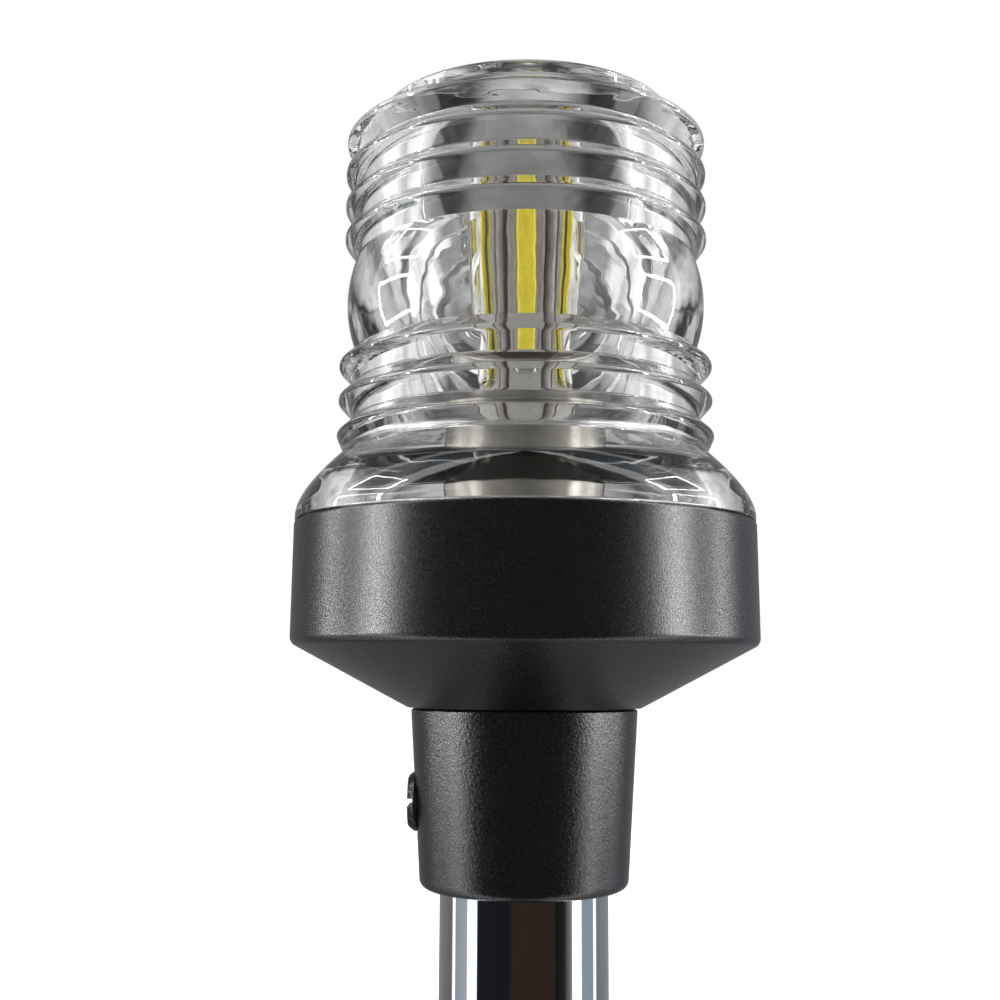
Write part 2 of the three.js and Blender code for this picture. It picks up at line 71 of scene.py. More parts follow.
# ---------- the frame's own sizes ----------
class Extent:
    """Where a node of the frame lies, in millimetres."""

    def __init__(self, node):
        low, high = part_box(node)
        self.low, self.high = low / MM, high / MM
        self.bottom, self.top = self.low.z, self.high.z
        self.centre = (self.low + self.high) / 2
        self.radius = self.high.y  # of a round piece on the light's axis or the clamp's


POLE = Extent("pole_tube")
NECK = Extent("neck_socket")
BOWL = Extent("housing_bowl")
LENS = Extent("lens")
SEAL = Extent("lens_seal")
GROMMET = Extent("lead_grommet")
HOLDER = Extent("lamp_holder")
DISC = Extent("contact_disc")
SPRING = Extent("contact_spring")
BASE = Extent("lamp_base")
INSULATOR = Extent("lamp_base_insulator")
DRUM = Extent("lamp_body")
CORE = Extent("led_core")
BOARD = Extent("led_board_1")
STRIP = Extent("led_strip_1")
COVER = Extent("led_cover_1")
CAP = Extent("lamp_cap")
WASHER = Extent("clamp_washer")
SCREW = Extent("clamp_screw")
INSERT = Extent("clamp_insert")
CLAMP_HEIGHT = WASHER.centre.z


# ---------- outlines ----------
def arc_points(middle, radius, start, sweep, step=ARC_STEP):
    """Points along an arc that starts at an angle and turns by sweep."""
    count = max(2, math.ceil(abs(sweep) / step))
    turns = [start + sweep * k / count for k in range(count + 1)]
    return [Vector((middle.x + radius * math.cos(t), middle.y + radius * math.sin(t))) for t in turns]


def rounded(corners, step=ARC_STEP):
    """A closed outline whose corners (x, y, fillet) are arcs of their fillet's radius."""
    outline = []
    for i, corner in enumerate(corners):
        here = Vector(corner[:2])
        fillet = corner[2] if len(corner) > 2 else 0
        before = Vector(corners[i - 1][:2]) - here
        after = Vector(corners[(i + 1) % len(corners)][:2]) - here
        if fillet == 0 or before.length == 0 or after.length == 0:
            outline.append(here)
            continue
        half = before.angle(after) / 2
        reach = min(fillet / math.tan(half), 0.49 * before.length, 0.49 * after.length)
        radius = reach * math.tan(half)
        start = here + before.normalized() * reach
        end = here + after.normalized() * reach
        inward = (before.normalized() + after.normalized()).normalized()
        middle = here + inward * (radius / math.sin(half))
        first = math.atan2(start.y - middle.y, start.x - middle.x)
        last = math.atan2(end.y - middle.y, end.x - middle.x)
        sweep = math.remainder(last - first, 2 * math.pi)
        outline += arc_points(middle, radius, first, sweep, step)
    return outline


def bezier(start, pull, end, count):
    """Points of a quadratic curve, as corners without fillets."""
    points = []
    for k in range(count + 1):
        t = k / count
        x = (1 - t) ** 2 * start[0] + 2 * t * (1 - t) * pull[0] + t * t * end[0]
        y = (1 - t) ** 2 * start[1] + 2 * t * (1 - t) * pull[1] + t * t * end[1]
        points.append((x, y, 0))
    return points


# ---------- meshes ----------
def made(name, shape):
    """Turns a finished bmesh into an object."""
    mesh = bpy.data.meshes.new(name)
    bmesh.ops.recalc_face_normals(shape, faces=shape.faces)
    shape.to_mesh(mesh)
    shape.free()
    piece = bpy.data.objects.new(name, mesh)
    bpy.context.scene.collection.objects.link(piece)
    return piece


def turned(name, outline, steps=ROUND):
    """A solid turned about Z from a closed outline of (radius, height) points."""
    shape = bmesh.new()
    points = [Vector(p[:2]) for p in outline]
    while any(p.x < ON_AXIS for p in points) and not (points[0].x < ON_AXIS and points[-1].x < ON_AXIS):
        points.append(points.pop(0))
    rings = []
    for p in points:
        count = 1 if p.x < ON_AXIS else steps
        turns = [2 * math.pi * k / steps for k in range(count)]
        rings.append(
            [shape.verts.new((p.x * MM * math.cos(t), p.x * MM * math.sin(t), p.y * MM)) for t in turns]
        )
    for i, ring in enumerate(rings):
        following = rings[(i + 1) % len(rings)]
        if len(ring) == 1 and len(following) == 1:
            continue
        for k in range(steps):
            corners = [
                ring[k % len(ring)],
                ring[(k + 1) % len(ring)],
                following[(k + 1) % len(following)],
                following[k % len(following)],
            ]
            shape.faces.new(list(dict.fromkeys(corners)))
    return made(name, shape)


def extruded(name, outline, low, high, bevel=0.0):
    """A prism that stands on a closed outline of (x, y) points, its edges bevelled."""
    shape = bmesh.new()
    floor = [shape.verts.new((x * MM, y * MM, low * MM)) for x, y in outline]
    roof = [shape.verts.new((x * MM, y * MM, high * MM)) for x, y in outline]
    shape.faces.new(floor)
    shape.faces.new(roof)
    for k in range(len(outline)):
        following = (k + 1) % len(outline)
        shape.faces.new([floor[k], floor[following], roof[following], roof[k]])
    if bevel:
        bmesh.ops.bevel(
            shape, geom=shape.edges[:], offset=bevel * MM, segments=3, profile=0.5, affect="EDGES"
        )
    return made(name, shape)


def block(name, low, high, bevel=0.0):
    """A box between two corners, its edges bevelled."""
    outline = [(low[0], low[1]), (high[0], low[1]), (high[0], high[1]), (low[0], high[1])]
    return extruded(name, outline, low[2], high[2], bevel)


def rod(name, radius, start, end, steps=SMALL_ROUND):
    """A plain round bar between two points."""
    start, end = Vector(start), Vector(end)
    length = (end - start).length
    bar = turned(name, [(0, 0), (radius, 0), (radius, length), (0, length)], steps)
    aim = (end - start).to_track_quat("Z", "Y").to_matrix().to_4x4()
    bar.data.transform(Matrix.Translation(start * MM) @ aim)
    return bar


def tube(name, path, radius, sides=20):
    """A round bar along a path of points."""
    shape = bmesh.new()
    across = Vector((1, 0, 0))
    rings = []
    last = len(path) - 1
    for i, p in enumerate(path):
        along = (path[min(i + 1, last)] - path[max(i - 1, 0)]).normalized()
        across = (across - along * across.dot(along)).normalized()
        side = along.cross(across)
        turns = [2 * math.pi * k / sides for k in range(sides)]
        rim = [p + (across * math.cos(t) + side * math.sin(t)) * radius for t in turns]
        rings.append([shape.verts.new(q * MM) for q in rim])
    for low, high in zip(rings, rings[1:]):
        for k in range(sides):
            shape.faces.new([low[k], low[(k + 1) % sides], high[(k + 1) % sides], high[k]])
    for rim in (rings[0], rings[-1]):
        shape.faces.new(rim)
    return made(name, shape)


def helical_bar(name, inner, outer, low, height, centre, span, climb, steps=24):
    """A bar of rectangular section that climbs as it goes round Z."""
    shape = bmesh.new()
    rings = []
    for k in range(steps + 1):
        turn = span * (k / steps - 0.5)
        base = low + climb * turn
        section = [(inner, base), (outer, base), (outer, base + height), (inner, base + height)]
        aim_x, aim_y = math.cos(centre + turn), math.sin(centre + turn)
        rings.append([shape.verts.new((r * MM * aim_x, r * MM * aim_y, z * MM)) for r, z in section])
    for low_ring, high_ring in zip(rings, rings[1:]):
        for k in range(4):
            following = (k + 1) % 4
            shape.faces.new([low_ring[k], low_ring[following], high_ring[following], high_ring[k]])
    shape.faces.new(rings[0])
    shape.faces.new(rings[-1])
    return made(name, shape)


def carve(piece, tool, operation="DIFFERENCE"):
    """Cuts tool out of piece, or joins it on, and removes tool."""
    change = piece.modifiers.new("carve", "BOOLEAN")
    change.object = tool
    change.operation = operation
    change.solver = "EXACT"
    depsgraph = bpy.context.evaluated_depsgraph_get()
    result = bpy.data.meshes.new_from_object(piece.evaluated_get(depsgraph), depsgraph=depsgraph)
    old = piece.data
    piece.modifiers.clear()
    piece.data = result
    bpy.data.meshes.remove(old)
    bpy.data.objects.remove(tool)


def moved(piece, matrix):
    piece.data.transform(matrix)
    return piece


def turned_by(piece, degrees):
    return moved(piece, Matrix.Rotation(math.radians(degrees), 4, "Z"))


def laid_outwards(piece):
    """Lays a piece made about Z along −X, at the clamp's height."""
    place = Matrix.Translation((0, 0, CLAMP_HEIGHT * MM))
    return moved(piece, place @ Matrix.Rotation(-math.pi / 2, 4, "Y"))


def placed(piece, body, material, node):
    """Smooths a finished piece, gives it its material, puts it on its body and hides the node that it stands
    for.
    """
    mesh = piece.data
    mesh.shade_smooth()
    mesh.set_sharp_from_angle(angle=SHARP)
    weigh = piece.modifiers.new("normals", "WEIGHTED_NORMAL")
    weigh.mode = "FACE_AREA"
    weigh.keep_sharp = True
    mesh.materials.clear()
    mesh.materials.append(material)
    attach(piece, body)
    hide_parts(node)


# ---------- materials ----------
def add(tree, kind, inputs=None, **settings):
    """Adds a shader node, with the values of its sockets and its settings."""
    node = tree.nodes.new("ShaderNode" + kind)
    for key, value in settings.items():
        setattr(node, key, value)
    for key, value in (inputs or {}).items():
        node.inputs[key].default_value = value
    return node


def noise(tree, size, detail, stretch):
    """A noise whose features are about size millimetres, drawn out by stretch."""
    place = add(tree, "TexCoord")
    scaling = add(tree, "Mapping")
    scaling.inputs["Scale"].default_value = [1 / (size * MM * s) for s in stretch]
    texture = add(tree, "TexNoise", {"Scale": 1.0, "Detail": detail, "Roughness": 0.55})
    tree.links.new(place.outputs["Object"], scaling.inputs["Vector"])
    tree.links.new(scaling.outputs["Vector"], texture.inputs["Vector"])
    return texture.outputs["Fac"]


def spread(tree, value, low, high, start=0.3, stop=0.7):
    """Spreads a noise's middle values over low to high."""
    span = add(tree, "MapRange", {"From Min": start, "From Max": stop, "To Min": low, "To Max": high})
    tree.links.new(value, span.inputs["Value"])
    return span.outputs["Result"]


def bumped(tree, layers):
    """Stacks bumps: each layer is a height signal and how far, in millimetres, it rises."""
    normal = None
    for signal, rise in layers:
        bump = add(tree, "Bump", {"Strength": 1.0, "Distance": rise * MM})
        tree.links.new(signal, bump.inputs["Height"])
        if normal:
            tree.links.new(normal, bump.inputs["Normal"])
        normal = bump.outputs["Normal"]
    return normal


EVEN = (1, 1, 1)  # a grain that isn't drawn out
UP = (1, 1, 40)  # a grain drawn out along Z
PATCH_EDGES = (0.35, 0.65)  # the noise values where a surface's two colours are reached


def finish(name, colours, roughness, patch, grains=(), metallic=0.0, specular=0.5, stretch=EVEN):
    """A surface whose colour and roughness wander between two values in patches, with bumped grain.
    Each grain is (size, rise, stretch), in millimetres; patches are stretched by stretch."""
    material = bpy.data.materials.new(name)
    material.use_nodes = True
    tree = material.node_tree
    tree.nodes.clear()
    shader = add(tree, "BsdfPrincipled", {"Metallic": metallic, "Specular IOR Level": specular})
    patches = noise(tree, patch, 4.0, stretch)
    blend = add(tree, "ValToRGB")
    for element, edge, colour in zip(blend.color_ramp.elements, PATCH_EDGES, colours):
        element.position = edge
        element.color = (*colour, 1)
    tree.links.new(patches, blend.inputs["Fac"])
    tree.links.new(blend.outputs["Color"], shader.inputs["Base Color"])
    tree.links.new(spread(tree, patches, *roughness), shader.inputs["Roughness"])
    normal = bumped(tree, [(noise(tree, size, 2.0, drawn), rise) for size, rise, drawn in grains])
    if normal:
        tree.links.new(normal, shader.inputs["Normal"])
    output = add(tree, "OutputMaterial")
    tree.links.new(shader.outputs["BSDF"], output.inputs["Surface"])
    return material


def clear_plastic(name, tint, ior, waves, shade):
    """Clear moulded plastic with a wavy surface: each wave is (size, rise, stretch), in millimetres.
    Lamps shine through it as through a plain filter of colour shade."""
    material = bpy.data.materials.new(name)
    material.use_nodes = True
    tree = material.node_tree
    tree.nodes.clear()
    shader = add(
        tree,
        "BsdfPrincipled",
        {"Base Color": (*tint, 1), "Transmission Weight": 1.0, "IOR": ior, "Roughness": 0.0},
    )
    haze = noise(tree, 7.0, 5.0, EVEN)
    tree.links.new(spread(tree, haze, 0.0, 0.035, 0.5, 0.8), shader.inputs["Roughness"])
    normal = bumped(tree, [(noise(tree, size, 1.0, stretch), rise) for size, rise, stretch in waves])
    tree.links.new(normal, shader.inputs["Normal"])
    through = add(tree, "BsdfTransparent", {"Color": (*shade, 1)})
    path = add(tree, "LightPath")
    mix = add(tree, "MixShader")
    tree.links.new(path.outputs["Is Shadow Ray"], mix.inputs["Fac"])
    tree.links.new(shader.outputs["BSDF"], mix.inputs[1])
    tree.links.new(through.outputs["BSDF"], mix.inputs[2])
    output = add(tree, "OutputMaterial")
    tree.links.new(mix.outputs["Shader"], output.inputs["Surface"])
    return material


STEEL = finish(
    "polished_stainless",
    ((0.80, 0.80, 0.81), (0.70, 0.71, 0.73)),
    (0.015, 0.06),
    metallic=1.0,
    patch=5.0,
    grains=((0.05, 0.0004, UP), (3.0, 0.002, EVEN)),
    stretch=(1, 1, 4),
)
COARSE = finish(
    "coarse_black_nylon",
    ((0.0014, 0.0014, 0.0016), (0.0022, 0.0022, 0.0025)),
    (0.16, 0.33),
    patch=0.30,
    grains=((0.42, 0.045, EVEN), (0.20, 0.034, EVEN)),
    specular=0.8,
)
SATIN = finish(
    "satin_black_nylon",
    ((0.0014, 0.0014, 0.0016), (0.0022, 0.0022, 0.0025)),
    (0.20, 0.34),
    patch=0.22,
    grains=((0.30, 0.015, EVEN), (0.15, 0.012, EVEN)),
    specular=0.8,
)
GLOSSY = finish(
    "blackened_steel",
    ((0.0015, 0.0015, 0.002), (0.004, 0.004, 0.005)),
    (0.12, 0.3),
    patch=1.5,
    grains=((0.4, 0.006, EVEN),),
    specular=0.3,
)
CLEAR = clear_plastic(
    "clear_polycarbonate",
    (0.985, 0.99, 0.99),
    ior=1.56,
    waves=((11.0, 0.10, EVEN), (4.0, 0.034, EVEN)),
    shade=(0.55, 0.55, 0.55),
)
COVER_CLEAR = clear_plastic(
    "clear_silicone",
    (0.99, 0.99, 0.98),
    ior=1.36,
    waves=((2.5, 0.02, (1, 1, 3)),),
    shade=(0.9, 0.9, 0.88),
)
RUBBER = finish(
    "black_rubber",
    ((0.018, 0.018, 0.019), (0.028, 0.028, 0.028)),
    (0.62, 0.8),
    patch=1.5,
    grains=((0.15, 0.01, EVEN),),
)
NICKEL = finish(
    "bright_nickel",
    ((0.70, 0.66, 0.59), (0.58, 0.55, 0.49)),
    (0.14, 0.24),
    metallic=1.0,
    patch=3.0,
    grains=((1.6, 0.012, EVEN),),
)
ZINC = finish(
    "zinc_plate",
    ((0.58, 0.59, 0.60), (0.45, 0.46, 0.49)),
    (0.22, 0.36),
    metallic=1.0,
    patch=0.9,
    grains=((0.2, 0.003, EVEN),),
)
BRASS = finish(
    "brass",
    ((0.72, 0.50, 0.20), (0.60, 0.40, 0.15)),
    (0.16, 0.32),
    metallic=1.0,
    patch=1.0,
    grains=((0.15, 0.002, EVEN),),
)
SPRING_STEEL = finish(
    "spring_wire",
    ((0.50, 0.50, 0.52), (0.38, 0.38, 0.40)),
    (0.18, 0.3),
    metallic=1.0,
    patch=0.8,
    grains=((0.1, 0.002, EVEN),),
)
PHENOLIC = finish(
    "phenolic_board",
    ((0.13, 0.075, 0.04), (0.075, 0.045, 0.028)),
    (0.45, 0.62),
    patch=0.7,
    grains=((0.12, 0.006, EVEN),),
    stretch=(1, 6, 1),
)
ALUMINIUM = finish(
    "anodised_aluminium",
    ((0.27, 0.245, 0.235), (0.21, 0.19, 0.18)),
    (0.45, 0.6),
    metallic=0.35,
    patch=2.0,
    grains=((0.08, 0.002, UP),),
)
BOARD_WHITE = finish(
    "solder_mask_white",
    ((0.30, 0.29, 0.275), (0.24, 0.235, 0.22)),
    (0.32, 0.5),
    patch=1.2,
    grains=((0.3, 0.004, EVEN),),
)
PHOSPHOR = finish(
    "phosphor_gel",
    ((0.84, 0.72, 0.05), (0.70, 0.57, 0.03)),
    (0.35, 0.6),
    patch=0.8,
    grains=((0.25, 0.02, EVEN), (0.08, 0.006, EVEN)),
)


def pvc(name, colours):
    """The insulation of a lead."""
    return finish(name, colours, (0.36, 0.5), patch=2, grains=((0.3, 0.004, EVEN),))


LEAD_RED = pvc("red_pvc", ((0.36, 0.018, 0.014), (0.28, 0.012, 0.01)))
LEAD_BLACK = pvc("black_pvc", ((0.02, 0.02, 0.021), (0.03, 0.03, 0.03)))


# ---------- pole and neck ----------
NECK_STOP = POLE.top + 0.5  # where the pole's way into the neck ends
NECK_TOP_RADIUS = 17.3
NECK_SCREW_CIRCLE = 9.6
SCREW_HOLE = 1.75
THIRDS = (0, 120, 240)  # degrees; the neck's screws stand here, the ramps and lugs a little further on


def on_circle(radius, degrees):
    """The x and y of a point on a circle about the light's axis."""
    return radius * math.cos(math.radians(degrees)), radius * math.sin(math.radians(degrees))


def pole():
    wall = 1.6
    inner = POLE.radius - wall
    edge = 0.35
    outline = rounded(
        [
            (inner, POLE.bottom, 0.2),
            (POLE.radius, POLE.bottom, edge),
            (POLE.radius, POLE.top, edge),
            (inner, POLE.top, 0.2),
        ]
    )
    placed(turned("pole", outline), "housing", STEEL, "pole_tube")


def neck():
    bore = POLE.radius + 0.15
    foot = 15.7
    foot_fillet = 2.8
    lead_hole = 6.0
    outline = rounded(
        [
            (bore, NECK.bottom, 0.3),
            (foot, NECK.bottom, foot_fillet),
            (NECK_TOP_RADIUS, NECK.top, 0.35),
            (lead_hole, NECK.top, 0.4),
            (lead_hole, NECK_STOP, 0.2),
            (bore, NECK_STOP, 0.2),
        ]
    )
    shell = turned("neck", outline)
    outside = (-NECK_TOP_RADIUS - 3, 0, CLAMP_HEIGHT)
    washer_seat = (INSERT.low.x - CLEARANCE, 0, CLAMP_HEIGHT)
    seat_radius = 4.85
    carve(shell, rod("tool", seat_radius, outside, washer_seat))
    carve(shell, rod("tool", INSERT.radius + CLEARANCE, outside, (-bore + 1, 0, CLAMP_HEIGHT)))
    for angle in THIRDS:
        x, y = on_circle(NECK_SCREW_CIRCLE, angle)
        carve(shell, rod("tool", SCREW_HOLE, (x, y, NECK_STOP + 1), (x, y, NECK.top + 2)))
    placed(shell, "housing", COARSE, "neck_socket")


# ---------- clamp screw ----------
THREAD_RADIUS = 2.0
CLAMP_BORE = THREAD_RADIUS + 0.1  # the hole in the washer and the insert


def clamp_screw():
    pitch = 0.7
    thread_depth = 0.3
    point = 0.7  # how much narrower the tip is
    plain = 0.8  # the length below the thread
    relief = 0.4  # the least length between the thread and the head
    face, tip = -SCREW.low.x, -SCREW.high.x
    under = -WASHER.low.x + 0.05
    corners = [(0, tip), (THREAD_RADIUS - point, tip, 0.2)]
    turns = int((under - tip - plain - relief) / pitch)
    for k in range(turns):
        height = tip + plain + k * pitch
        corners += [
            (THREAD_RADIUS - thread_depth, height, 0.05),
            (THREAD_RADIUS, height + pitch / 2, 0.05),
        ]
    corners += [
        (THREAD_RADIUS - thread_depth, under, 0.05),
        (SCREW.radius, under, 0.25),
        (SCREW.radius, face - 1.0, 0.4),
        (SCREW.radius - 0.75, face, 0.6),
        (0, face),
    ]
    screw = turned("clamp_screw_fine", rounded(corners), SMALL_ROUND)
    slot_half = 0.6
    slot_depth = 0.8
    reach = SCREW.radius + 1
    carve(screw, block("tool", (-slot_half, -reach, face - slot_depth), (slot_half, reach, face + 1)))
    placed(laid_outwards(screw), "clamp_screw", GLOSSY, "clamp_screw")


def clamp_washer():
    outline = rounded(
        [
            (CLAMP_BORE, -WASHER.high.x, 0.06),
            (WASHER.radius, -WASHER.high.x, 0.1),
            (WASHER.radius, -WASHER.low.x, 0.1),
            (CLAMP_BORE, -WASHER.low.x, 0.06),
        ]
    )
    washer = turned("washer", outline, SMALL_ROUND)
    placed(laid_outwards(washer), "clamp_ring", GLOSSY, "clamp_washer")


def clamp_insert():
    """A threaded insert with grooves round it, for the moulding to grip."""
    low, high = -INSERT.high.x, -INSERT.low.x
    corners = [(CLAMP_BORE, high, 0.1), (CLAMP_BORE, low, 0.1)]
    ridges = 3
    waist = INSERT.radius - 0.2
    section = (high - low) / ridges
    for k in range(ridges):
        start = low + k * section
        corners += [
            (INSERT.radius, start, 0.05),
            (INSERT.radius, start + section * 0.7, 0.05),
            (waist, start + section * 0.78, 0),
            (waist, start + section * 0.92, 0),
        ]
    corners[-1] = (waist, high, 0.05)
    insert = turned("insert", rounded(corners), SMALL_ROUND)
    placed(laid_outwards(insert), "housing", BRASS, "clamp_insert")


# ---------- bowl ----------
BOWL_WALL = 2.6
RIM_RADIUS = 35.55
CONE_RADIUS = 17.9
COLLAR_LOW = 56.6
GROMMET_LIP = GROMMET.top - 0.9  # the underside of the grommet's lip
FLOOR_TOP = GROMMET_LIP - CLEARANCE
FLOOR_HOLE = 4.6
HOLDER_SCREW_OFFSET = 11.6
TWIST = math.radians(60)  # the lens turns this far between locked and free
RISE = 2.0  # and its ramps lift it this far
CLIMB = RISE / TWIST
RAMP_LOW = 68.6
RAMP_CENTRE = 30  # degrees from each of the thirds to the middle of its ramp and lug


def bowl():
    inner = RIM_RADIUS - BOWL_WALL
    slope = (COLLAR_LOW - BOWL.bottom) / (BOWL.radius - 0.8 - CONE_RADIUS)
    inner_floor = CONE_RADIUS + (FLOOR_TOP - BOWL.bottom) / slope - BOWL_WALL * 1.7
    outline = rounded(
        [
            (FLOOR_HOLE, BOWL.bottom, 0.2),
            (CONE_RADIUS, BOWL.bottom, 0.35),
            (BOWL.radius - 0.05, COLLAR_LOW + 0.1, 1.5),
            (RIM_RADIUS + 0.05, BOWL.top, 0.45),
            (inner, BOWL.top, 0.3),
            (inner, COLLAR_LOW + 3.2, 2.0),
            (inner_floor, FLOOR_TOP, 1.5),
            (FLOOR_HOLE, FLOOR_TOP, 0.2),
        ]
    )
    shell = turned("bowl", outline)
    ramp_radius = 31.5
    ramp_height = 1.6
    ramp_span = math.radians(46)
    for angle in THIRDS:
        centre = math.radians(angle + RAMP_CENTRE)
        ramp = helical_bar("tool", ramp_radius, inner + 0.6, RAMP_LOW, ramp_height, centre, ramp_span, CLIMB)
        carve(shell, ramp, "UNION")
    post_radius = 3.0
    post_bore = 1.3
    post_top = HOLDER.bottom - CLEARANCE
    for side in (-1, 1):
        y = side * HOLDER_SCREW_OFFSET
        carve(shell, rod("tool", post_radius, (0, y, FLOOR_TOP - 1), (0, y, post_top)), "UNION")
        carve(shell, rod("tool", post_bore, (0, y, FLOOR_TOP - 1.4), (0, y, post_top + 2)))
    for angle in THIRDS:
        x, y = on_circle(NECK_SCREW_CIRCLE, angle)
        carve(shell, rod("tool", SCREW_HOLE, (x, y, BOWL.bottom - 1), (x, y, FLOOR_TOP + 1)))
    placed(shell, "housing", SATIN, "housing_bowl")


def pan_screw(node, shank, head, thickness):
    """A pan-head cross-recessed screw that stands where its node does."""
    place = Extent(node)
    top, tip = place.top, place.bottom
    seat = top - thickness
    pitch = 0.8
    thread_depth = 0.3
    point = 0.25
    corners = [(0, tip), (point, tip, 0.1)]
    height = tip + shank
    while height < seat - pitch:
        corners += [(shank - thread_depth, height, 0.05), (shank, height + pitch / 2, 0.05)]
        height += pitch
    corners += [
        (shank - 0.25, seat, 0.05),
        (head, seat, 0.15),
        (head, seat + thickness * 0.45, 0.5),
        (head * 0.55, top, 1.0),
        (0, top),
    ]
    screw = turned(f"{node}_fine", rounded(corners), SMALL_ROUND)
    recess_half = 0.27
    recess_low = (-head * 0.5, -recess_half, top - thickness * 0.5)
    recess_high = (head * 0.5, recess_half, top + 1)
    for angle in (20, 110):
        carve(screw, turned_by(block("tool", recess_low, recess_high), angle))
    moved(screw, Matrix.Translation((place.centre.x * MM, place.centre.y * MM, 0)))
    placed(screw, "housing", ZINC, node)


def grommet():
    hole = 3.0
    waist = FLOOR_HOLE - CLEARANCE
    outline = rounded(
        [
            (hole, GROMMET.bottom, 0.3),
            (waist, GROMMET.bottom, 0.3),
            (waist, GROMMET_LIP, 0.1),
            (GROMMET.radius, GROMMET_LIP, 0.3),
            (GROMMET.radius, GROMMET.top, 0.4),
            (hole, GROMMET.top, 0.4),
        ]
    )
    placed(turned("grommet", outline, SMALL_ROUND), "housing", RUBBER, "lead_grommet")


def smooth_path(stops, steps):
    """Points of a smooth curve through stops, with steps points from each stop to the next."""
    padded = [2 * stops[0] - stops[1], *stops, 2 * stops[-1] - stops[-2]]
    path = []
    for k in range(len(stops) - 1):
        a, b, c, d = padded[k : k + 4]
        for i in range(steps):
            t = i / steps
            bend = (2 * a - 5 * b + 4 * c - d) * t**2 + (3 * b - a - 3 * c + d) * t**3
            path.append(0.5 * (2 * b + (c - a) * t + bend))
    return [*path, stops[-1]]


def lead(side, node, material):
    """A lead from the holder down through grommet, neck and pole, along the frame's own route."""
    top, bottom = 52.4, 3.2
    drop = top - bottom
    apart = 1.45
    sway = 2.2
    radius = 0.9
    stops = [
        Vector((side * apart, 0, top)),
        Vector((side * apart, 0, top - drop * 0.15)),
        Vector((side * (apart + sway), side * 0.6, top - drop * 0.4)),
        Vector((side * (apart + sway), side * sway, top - drop * 0.7)),
        Vector((side * (apart + sway * 0.6), side * sway, bottom)),
    ]
    placed(tube(f"{node}_fine", smooth_path(stops, 14), radius), "housing", material, node)


# ---------- lens and seal ----------
LENS_SEAT = 75.1
FLANGE_RADIUS = 35.5
FLANGE_EDGE = 0.8
LENS_TOP = 140.9
DISC_RADIUS = 23.2
DISC_FOOT = 138.7  # where the raised disc on top meets the highest fin
LENS_BORE = 24.4
BORE_TOP = 135.2
BORE_LOW = 88.0
SKIRT_RADIUS = 31.0
SKIRT_BORE = 28.4
SHOULDER = (28.3, 85.9)  # where the flange's dome meets the lowest fin
SHOULDER_PULL = (35.4, 79.6)
UPPER_FINS = {"count": 4, "lowest": 120.1, "pitch": 5.3, "radius": 28.95, "root": 26.4, "root_rise": 1.95}
LOWER_FINS = {"count": 3, "lowest": 88.75, "pitch": 5.42, "radius": 29.55, "root": 26.8, "root_rise": 2.4}
FIN_FILLET = 0.8
ROOT_FILLET = 0.25
BAND_LOW, BAND_HIGH, BAND_RADIUS, BAND_EDGE = 102.0, 117.0, 28.1, 26.6
GROOVE_RADIUS, GROOVE_HALF = 30.1, 1.5  # the seal's groove
LUG_RADIUS = 32.7
LUG_HEIGHT = 1.6
LUG_SPAN = math.radians(24)


def fins(count, lowest, pitch, radius, root, root_rise):
    """The zigzag of a stack of fins, from its lowest tip to its highest."""
    corners = []
    for k in range(count):
        corners.append((radius, lowest + k * pitch, FIN_FILLET))
        if k < count - 1:
            corners.append((root, lowest + k * pitch + root_rise, ROOT_FILLET))
    return corners


def band():
    """The convex band between the two stacks of fins."""
    half = (BAND_HIGH - BAND_LOW) / 2
    sag = BAND_RADIUS - BAND_EDGE
    curve = (half * half + sag * sag) / (2 * sag)
    reach = math.asin(half / curve)
    middle = Vector((BAND_RADIUS - curve, (BAND_LOW + BAND_HIGH) / 2))
    return [(p.x, p.y, 0) for p in arc_points(middle, curve, -reach, 2 * reach, step=math.radians(2))]


def dome(radius, low, rise, count=10):
    """A shallow dome's outline from its edge to the axis."""
    shares = [1 - k / count for k in range(count + 1)]
    return [(radius * share, low + rise * (1 - share**2), 0) for share in shares]


def lens():
    groove_low, groove_high = SEAL.centre.z - GROOVE_HALF, SEAL.centre.z + GROOVE_HALF
    skirt_top = BORE_LOW - 6.5
    dome_foot = LENS_TOP + 0.05
    dome_radius = DISC_RADIUS - 1.2
    corners = [
        (0, BORE_TOP),
        (LENS_BORE, BORE_TOP, 2.2),
        (LENS_BORE, BORE_LOW, 3.0),
        (SKIRT_BORE, skirt_top, 3.0),
        (SKIRT_BORE, LENS.bottom, 0.5),
        (SKIRT_RADIUS, LENS.bottom, 0.5),
        (SKIRT_RADIUS, groove_low, 0.15),
        (GROOVE_RADIUS, groove_low, 0.25),
        (GROOVE_RADIUS, groove_high, 0.25),
        (SKIRT_RADIUS, groove_high, 0.1),
        (SKIRT_RADIUS, LENS_SEAT, 0.2),
        (FLANGE_RADIUS, LENS_SEAT, 0.25),
        *bezier((FLANGE_RADIUS, LENS_SEAT + FLANGE_EDGE), SHOULDER_PULL, SHOULDER, count=22),
        *fins(**LOWER_FINS),
        *band(),
        *fins(**UPPER_FINS),
        (DISC_RADIUS, DISC_FOOT, 0.3),
        (DISC_RADIUS, LENS_TOP, 0.6),
        *dome(dome_radius, dome_foot, LENS.top - dome_foot),
    ]
    shell = turned("lens_moulding", rounded(corners, step=math.radians(8)))
    root = SKIRT_RADIUS - 0.6
    low = RAMP_LOW - CLEARANCE - LUG_HEIGHT
    for angle in THIRDS:
        centre = math.radians(angle + RAMP_CENTRE)
        lug = helical_bar("tool", root, LUG_RADIUS, low, LUG_HEIGHT, centre, LUG_SPAN, CLIMB, 12)
        carve(shell, lug, "UNION")
    placed(shell, "lens_cover", CLEAR, "lens")


